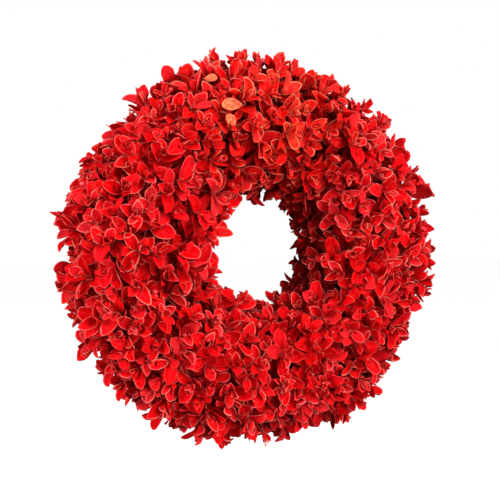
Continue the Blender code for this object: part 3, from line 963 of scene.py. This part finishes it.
# ---------------------------------------------------------------- straw: stalks laid along the ring over a packed heart
def outline(q, inset):
    """A point of the straw's outline at q of the way round it, that far inside, with the corners eased."""
    n = len(STRAW_SECTION)
    seg = np.roll(STRAW_SECTION, -1, 0) - STRAW_SECTION
    length = np.linalg.norm(seg, axis=1)
    run = np.concatenate([[0], np.cumsum(length)]) / length.sum()
    out = np.zeros(q.shape + (2,))
    for step in (-0.016, -0.008, 0.0, 0.008, 0.016):
        x = np.mod(q + step, 1.0)
        i = np.clip(np.searchsorted(run, x, side="right") - 1, 0, n - 1)
        f = (x - run[i]) / (run[i + 1] - run[i])
        out += STRAW_SECTION[i] + seg[i] * f[..., None]
    out /= 5
    size_ = np.linalg.norm(out, axis=-1)
    return out * ((size_ - inset) / size_)[..., None]


def pinch(degrees):
    """How far the binding draws the straw in, at an angle round the ring."""
    off = np.abs((degrees + 15) % 30 - 15)
    return WAIST_DEPTH * (1 - smooth(off, 1.6, 6.2))


STALK = tube_template(6, 15)
for b in range(6):
    middle = 120.0 - 60.0 * b
    piece = Piece(f"straw_stalks_{b + 1}")
    half = 29.75
    starts, ends, qs, deep = [], [], [], []
    for layer, many in ((0, 84), (1, 70)):
        for i in range(many):
            q = (i + rng.uniform(0.1, 0.9)) / many
            cuts = [-half]
            while cuts[-1] < half - 14:
                cuts.append(min(half, cuts[-1] + rng.uniform(22, 46)))
            cuts[-1] = half
            shift = 0 if len(cuts) < 3 else rng.uniform(-6, 6)
            cuts = [cuts[0]] + [c + shift for c in cuts[1:-1]] + [cuts[-1]]
            for a, c in zip(cuts[:-1], cuts[1:]):
                starts.append(a + (0.0 if a == -half else rng.uniform(0.0, 1.2)))
                ends.append(c - (0.0 if c == half else rng.uniform(0.0, 1.2)))
                qs.append(q)
                deep.append(1.15 + 0.5 * rng.random() + layer * 1.7)
    starts, ends, qs, deep = (np.array(v) for v in (starts, ends, qs, deep))
    n = len(qs)
    t = np.linspace(0, 1, 15)[None, :]
    deg = middle + starts[:, None] + (ends - starts)[:, None] * t
    drift = rng.normal(0, 0.010, (n, 1)) * (t - 0.5) * 2 + rng.normal(0, 0.0022, (n, 1)) * np.sin(t * 7 + rng.uniform(0, 6, (n, 1)))
    inset = deep[:, None] + pinch(deg) + 0.25 * np.sin(t * 9 + rng.uniform(0, 6, (n, 1)))
    sec = outline(qs[:, None] + drift, np.maximum(inset, 1.0))
    path = place(sec[..., 0], sec[..., 1], np.radians(deg))
    radius = (rng.uniform(0.85, 1.30, (n, 1)) * (1 - 0.12 * smooth(np.abs(t - 0.5), 0.42, 0.5))) * np.ones_like(t)
    pts, _ = tubes(path, radius, 6, rng.uniform(0.72, 1.0, n))
    pts[..., 1] = np.minimum(pts[..., 1], BACK_Y - 0.05)
    tint = np.stack([np.clip(rng.normal(0.55, 0.2, n), 0, 1), rng.random(n), rng.random(n)], -1)
    piece.add(STALK, pts, tube_spots(path, radius, 6), tint, 0)
    # loose ends that stand a little proud
    m = 26
    lq = rng.random(m)
    ldeg = middle + rng.uniform(-half + 3, half - 6, m)
    lt = np.linspace(0, 1, 15)[None, :]
    span = rng.uniform(4, 9, m)[:, None] * lt * rng.choice([-1, 1], m)[:, None]
    ldeg2 = np.clip(ldeg[:, None] + span, middle - half, middle + half)
    rise = rng.uniform(1.0, 4.5, m)[:, None] * lt ** 1.6
    sec = outline(lq[:, None] + 0 * lt, 1.4 + pinch(ldeg2) - rise)
    path = place(sec[..., 0], sec[..., 1], np.radians(ldeg2))
    path[..., 1] = np.minimum(path[..., 1], BACK_Y - 0.9)
    radius = rng.uniform(0.35, 0.8, (m, 1)) * (1 - 0.35 * lt)
    pts, _ = tubes(path, radius, 6, rng.uniform(0.6, 1.0, m))
    tint = np.stack([np.clip(rng.normal(0.66, 0.2, m), 0, 1), rng.random(m), rng.random(m)], -1)
    piece.add(STALK, pts, tube_spots(path, radius, 6), tint, 0)
    # the heart: a packed body under the stalks, with the channel for the core ring
    rings, sides = 41, 36
    deg = middle + np.linspace(-half, half, rings)
    q = np.arange(sides) / sides
    sec = outline(np.broadcast_to(q, (rings, sides)), 3.3 + pinch(deg)[:, None] + 0.5 * rng.random((rings, sides)))
    outer = place(sec[..., 0], sec[..., 1], np.radians(deg)[:, None])
    bore = sec / np.linalg.norm(sec, axis=-1, keepdims=True) * 2.9
    inner = place(bore[..., 0], bore[..., 1], np.radians(deg)[:, None])
    pts = np.concatenate([outer.reshape(-1, 3), inner.reshape(-1, 3)])
    faces, uvs = [], []
    total = rings * sides
    for j in range(rings - 1):
        for i in range(sides):
            c = (i + 1) % sides
            u0, u1 = 0.02 + 0.96 * j / (rings - 1), 0.02 + 0.96 * (j + 1) / (rings - 1)
            v0, v1 = 0.02 + 0.6 * i / sides, 0.02 + 0.6 * (i + 1) / sides
            faces.append([j * sides + i, (j + 1) * sides + i, (j + 1) * sides + c, j * sides + c])
            uvs.append([(u0, v0), (u1, v0), (u1, v1), (u0, v1)])
            w0, w1 = 0.66 + 0.2 * i / sides, 0.66 + 0.2 * (i + 1) / sides
            faces.append([total + j * sides + i, total + j * sides + c, total + (j + 1) * sides + c, total + (j + 1) * sides + i])
            uvs.append([(u0, w0), (u0, w1), (u1, w1), (u1, w0)])
    for ring_i, flip in ((0, False), (rings - 1, True)):
        for i in range(sides):
            c = (i + 1) % sides
            f = [ring_i * sides + i, ring_i * sides + c, total + ring_i * sides + c, total + ring_i * sides + i]
            w = [(0.02 + 0.4 * flip + 0.3 * i / sides, 0.90), (0.02 + 0.4 * flip + 0.3 * (i + 1) / sides, 0.90), (0.02 + 0.4 * flip + 0.3 * (i + 1) / sides, 0.96), (0.02 + 0.4 * flip + 0.3 * i / sides, 0.96)]
            faces.append(f[::-1] if flip else f)
            uvs.append(w[::-1] if flip else w)
    heart = Template(faces, uvs, 2 * total)
    piece.add(heart, pts[None], pts[None] * 1.0, np.full((1, 3), 0.5), 1)
    obj = piece.mesh([STRAW_MAT, HEART_MAT])
    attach(obj, "wreath")
    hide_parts(f"straw_bundle_{b + 1}")

# ---------------------------------------------------------------- floor, light and camera
scene = bpy.context.scene
floor_mesh = bpy.data.meshes.new("floor")
F, FZ = 9.0, -0.60
floor_mesh.from_pydata([(-F, -F, FZ), (F, -F, FZ), (F, F, FZ), (-F, F, FZ)], [], [(0, 1, 2, 3)])
floor = bpy.data.objects.new("floor", floor_mesh)
scene.collection.objects.link(floor)
paper = Nodes("pale_floor")
paper_noise = paper.noise(paper.here(), 40.0, 3.0)
paper.put(paper.shader.inputs["Base Color"], paper.ramp(paper_noise, [(0.3, (0.17, 0.17, 0.17)), (0.7, (0.19, 0.19, 0.19))]))
paper.shader.inputs["Roughness"].default_value = 0.9
paper.shader.inputs["Emission Color"].default_value = (1, 1, 1, 1)
paper.shader.inputs["Emission Strength"].default_value = 0.955
floor_mesh.materials.append(paper.mat)
floor.visible_diffuse = False
floor.visible_glossy = False

world = bpy.data.worlds.new("studio")
scene.world = world
world.use_nodes = True
wt = world.node_tree
wt.nodes.clear()
out = wt.nodes.new("ShaderNodeOutputWorld")
mixer = wt.nodes.new("ShaderNodeMixShader")
soft_bg = wt.nodes.new("ShaderNodeBackground")
seen_bg = wt.nodes.new("ShaderNodeBackground")
ray = wt.nodes.new("ShaderNodeLightPath")
soft_bg.inputs[0].default_value = (1, 1, 1, 1)
soft_bg.inputs[1].default_value = 0.14
seen_bg.inputs[0].default_value = (1, 1, 1, 1)
seen_bg.inputs[1].default_value = 1.0
wt.links.new(ray.outputs["Is Camera Ray"], mixer.inputs[0])
wt.links.new(soft_bg.outputs[0], mixer.inputs[1])
wt.links.new(seen_bg.outputs[0], mixer.inputs[2])
wt.links.new(mixer.outputs[0], out.inputs[0])


def area_light(name, at, towards, power, size_m):
    data = bpy.data.lights.new(name, "AREA")
    data.energy = power
    data.shape = "DISK"
    data.size = size_m
    o = bpy.data.objects.new(name, data)
    o.location = at
    o.rotation_mode = "QUATERNION"
    o.rotation_quaternion = (Vector(towards) - Vector(at)).to_track_quat("-Z", "Y")
    scene.collection.objects.link(o)
    return o


area_light("key", (0.60, -2.05, 1.20), (0, 0, 0), 86.0, 1.5)
area_light("front_fill", (0.85, -2.05, -0.60), (0, 0, 0), 58.0, 1.8)
area_light("side", (-2.35, -0.55, 0.35), (0, 0, 0), 80.0, 1.2)
area_light("back_fill", (0.4, 2.3, 1.3), (0, 0, 0), 52.0, 1.6)

AZ, EL, DIST = math.radians(-22.5), math.radians(2.6), 0.928
cam_data = bpy.data.cameras.new("camera")
cam_data.lens = 943.0 / 500.0 * 36.0
cam_data.sensor_width = 36.0
cam_data.shift_x = -(251.2 - 250.0) / 500.0
cam_data.shift_y = (249.7 - 250.0) / 500.0
cam = bpy.data.objects.new("camera", cam_data)
target = Vector((0, CENTRE_Y * MM, 0))
back = Vector((math.sin(AZ) * math.cos(EL), -math.cos(AZ) * math.cos(EL), math.sin(EL)))
cam.location = target + back * DIST
cam.rotation_mode = "QUATERNION"
cam.rotation_quaternion = (-back).to_track_quat("-Z", "Y")
scene.collection.objects.link(cam)
scene.camera = cam
scene.view_settings.view_transform = "Standard"
scene.view_settings.look = "None"
